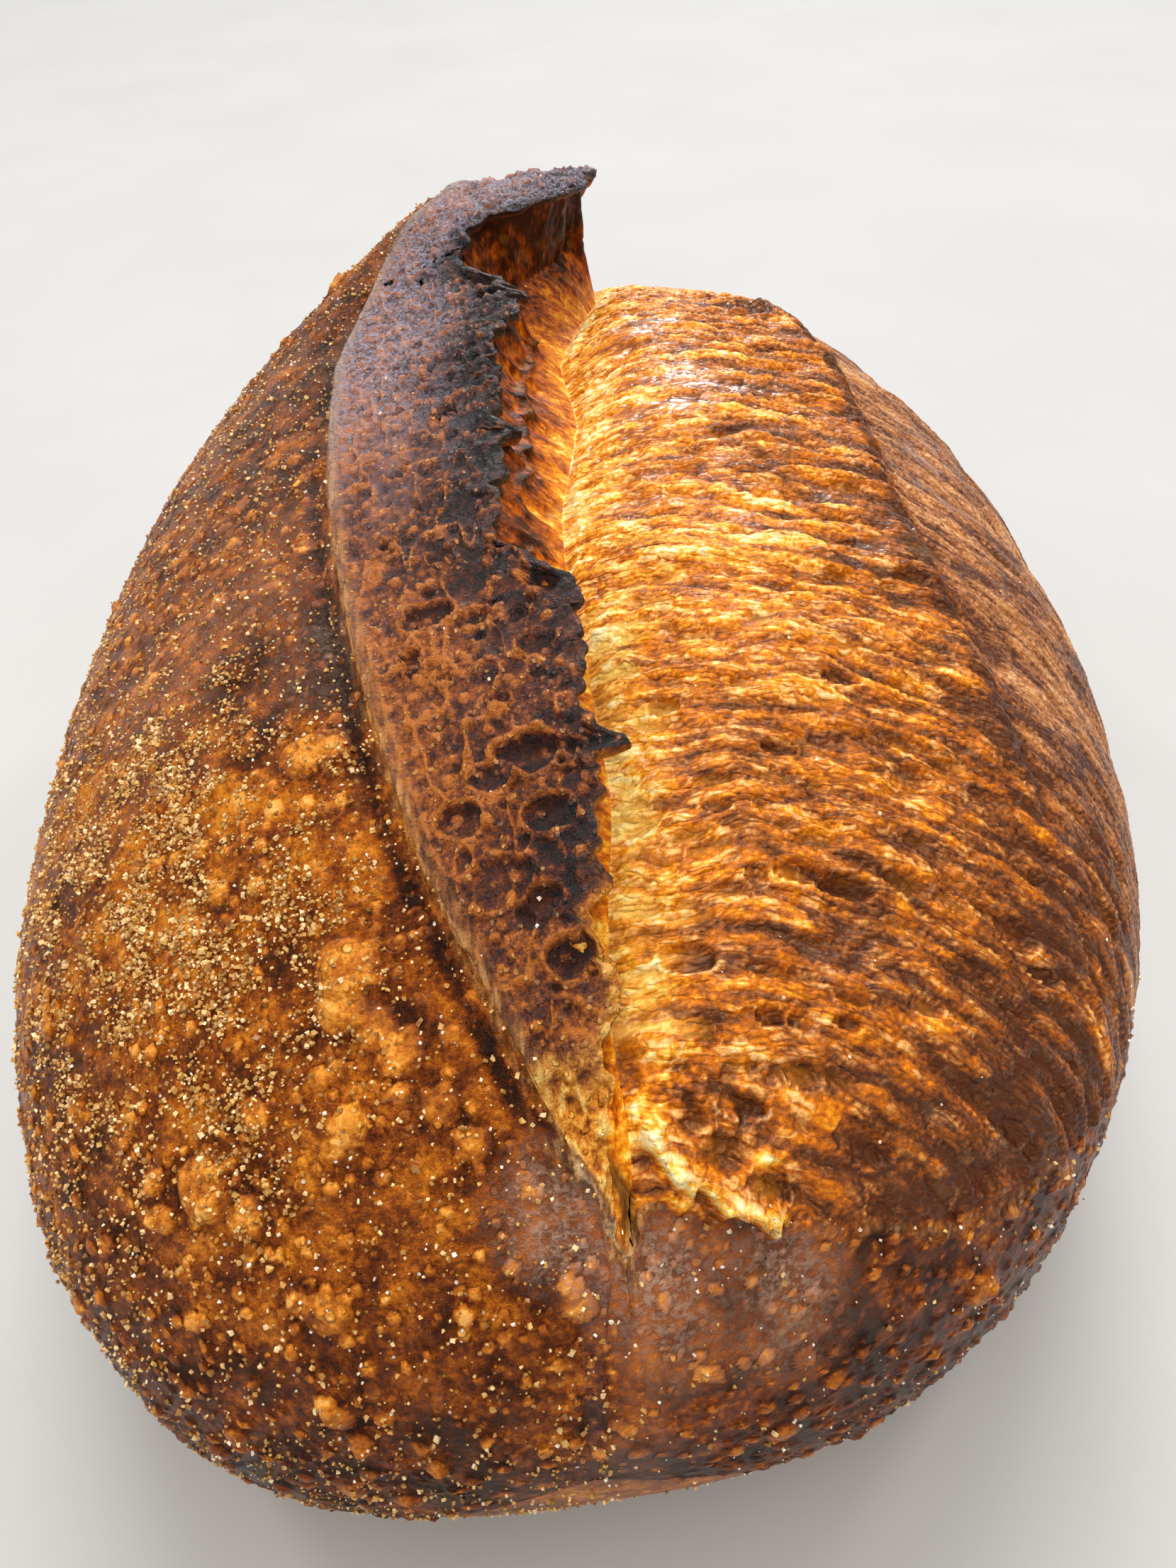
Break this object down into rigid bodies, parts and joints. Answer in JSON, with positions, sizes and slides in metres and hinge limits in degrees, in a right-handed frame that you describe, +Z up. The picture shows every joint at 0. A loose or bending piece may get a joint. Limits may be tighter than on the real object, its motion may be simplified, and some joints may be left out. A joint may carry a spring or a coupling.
{
  "type": "sourdough loaf",
  "caption": "Oval free-form sourdough loaf with a flat underside, a torn open belly and a long ear that curls up to a charred tip at one end.",
  "frame": {"origin": "under the middle of the loaf's box, on the surface that the loaf stands on", "axes": "+Z up, +Y along the loaf towards the raised tip of the ear, +X towards the torn belly"},
  "size_m": [0.1724, 0.25, 0.1142],
  "materials": {
    "crust": "matt baked crust, dark brown with amber blisters, golden torn crumb and pale flour"
  },
  "bodies": {
    "root": {"loaf": "crust"}
  },
  "joints": []
}
